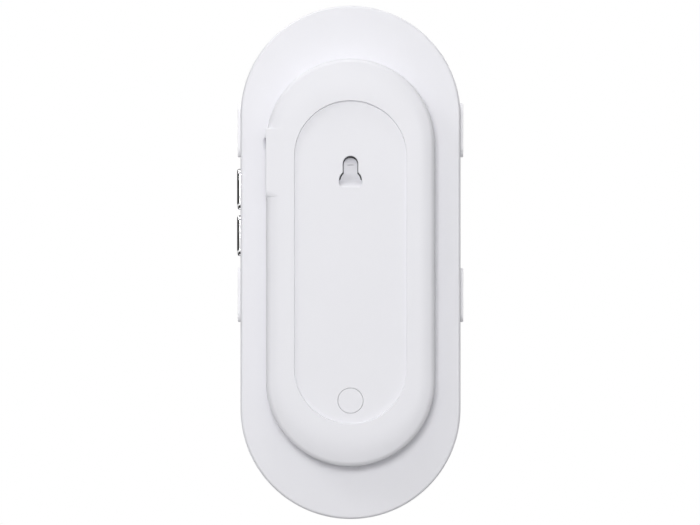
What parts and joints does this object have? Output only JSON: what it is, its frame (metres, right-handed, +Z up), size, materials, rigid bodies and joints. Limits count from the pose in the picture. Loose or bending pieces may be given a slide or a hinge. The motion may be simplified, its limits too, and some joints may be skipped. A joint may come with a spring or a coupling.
{
  "type": "video doorbell",
  "caption": "Battery video doorbell: stadium body, dark camera window and call button, side keys, and a keyhole hub behind.",
  "frame": {"origin": "centre of the keyhole's slot on the wall plane, where the wall screw holds the doorbell", "axes": "+Z up along the body, +Y into the wall, the front faces -Y, the volume buttons are on +X"},
  "size_m": [0.0618, 0.0249, 0.14],
  "materials": {
    "shell_white": "satin moulded ABS, fine texture",
    "pad_white": "satin white silicone",
    "polished_metal": "polished",
    "dark_glass": "polished dark acrylic",
    "lens_glass": "coated lens",
    "black_plastic": "fine matte",
    "milky_plastic": "translucent satin",
    "grey_rubber": "matte silicone",
    "soft_foam": "closed-cell foam",
    "board_green": "solder mask over laminate",
    "steel": "zinc-plated",
    "tin": "tinned sheet",
    "flex_gold": "polyimide film",
    "cell_wrap": "film-wrapped pouch",
    "lead_red": "insulated wire",
    "silicon": "glassy die",
    "led_resin": "dark resin"
  },
  "bodies": {
    "doorbell": {"rear_housing": "shell_white", "hub_shell": "shell_white", "front_housing": "shell_white", "housing_gasket": "grey_rubber", "hub_gasket": "grey_rubber", "hub_screws": "steel", "keyhole_cover": "shell_white", "pairing_switch": "black_plastic", "pairing_board": "board_green", "pairing_screws": "steel", "pairing_link": "flex_gold", "port_cover_pin": "steel", "charging_receptacle": "tin", "charging_tongue": "black_plastic", "charging_board": "board_green", "charging_screws": "steel", "charging_link": "black_plastic", "battery": "cell_wrap", "battery_foam": "soft_foam", "battery_pad": "soft_foam", "battery_leads": "lead_red", "battery_connector": "milky_plastic", "volume_seals": "grey_rubber", "volume_switches": "black_plastic", "side_board": "board_green", "side_link": "flex_gold", "side_pad_right_upper": "pad_white", "side_pad_right_lower": "pad_white", "side_pad_left_upper": "pad_white", "side_pad_left_lower": "pad_white", "camera_window": "dark_glass", "window_tape": "black_plastic", "lens_glass": "lens_glass", "lens_barrel": "black_plastic", "lens_holder": "black_plastic", "lens_baffle": "black_plastic", "image_sensor": "silicon", "camera_board": "board_green", "infrared_leds": "led_resin", "infrared_board": "board_green", "motion_lens": "milky_plastic", "motion_sensor": "tin", "microphone": "tin", "microphone_gasket": "grey_rubber", "status_light": "milky_plastic", "light_ring": "milky_plastic", "call_membrane": "pad_white", "call_switch": "black_plastic", "call_board": "board_green", "board_screws": "steel", "speaker": "black_plastic", "speaker_gasket": "soft_foam", "main_board": "board_green", "board_parts": "tin"},
    "call_key": {"call_button": "shell_white"},
    "volume_up_key": {"volume_up_button": "polished_metal"},
    "volume_down_key": {"volume_down_button": "polished_metal"},
    "pairing_key": {"pairing_button": "shell_white"},
    "port_door": {"port_cover": "shell_white", "port_cover_seal": "grey_rubber"}
  },
  "joints": [
    {"name": "call_button_press", "type": "slide", "parent": "doorbell", "child": "call_key", "axis": [0, 1, 0], "range_m": [0, 0.0005], "stiffness_N_per_m": 900, "springref_m": -0.0006},
    {"name": "volume_up_press", "type": "slide", "parent": "doorbell", "child": "volume_up_key", "axis": [-1, 0, 0], "range_m": [0, 0.0005], "stiffness_N_per_m": 450, "springref_m": -0.0006},
    {"name": "volume_down_press", "type": "slide", "parent": "doorbell", "child": "volume_down_key", "axis": [-1, 0, 0], "range_m": [0, 0.0005], "stiffness_N_per_m": 450, "springref_m": -0.0006},
    {"name": "pairing_button_press", "type": "slide", "parent": "doorbell", "child": "pairing_key", "axis": [0, -1, 0], "range_m": [0, 0.0005], "stiffness_N_per_m": 450, "springref_m": -0.0006},
    {"name": "port_cover_open", "type": "hinge", "parent": "doorbell", "child": "port_door", "pos_m": [0.02225, -0.0055, -0.00635], "axis": [0, 1, 0], "range_deg": [0, 90]}
  ]
}
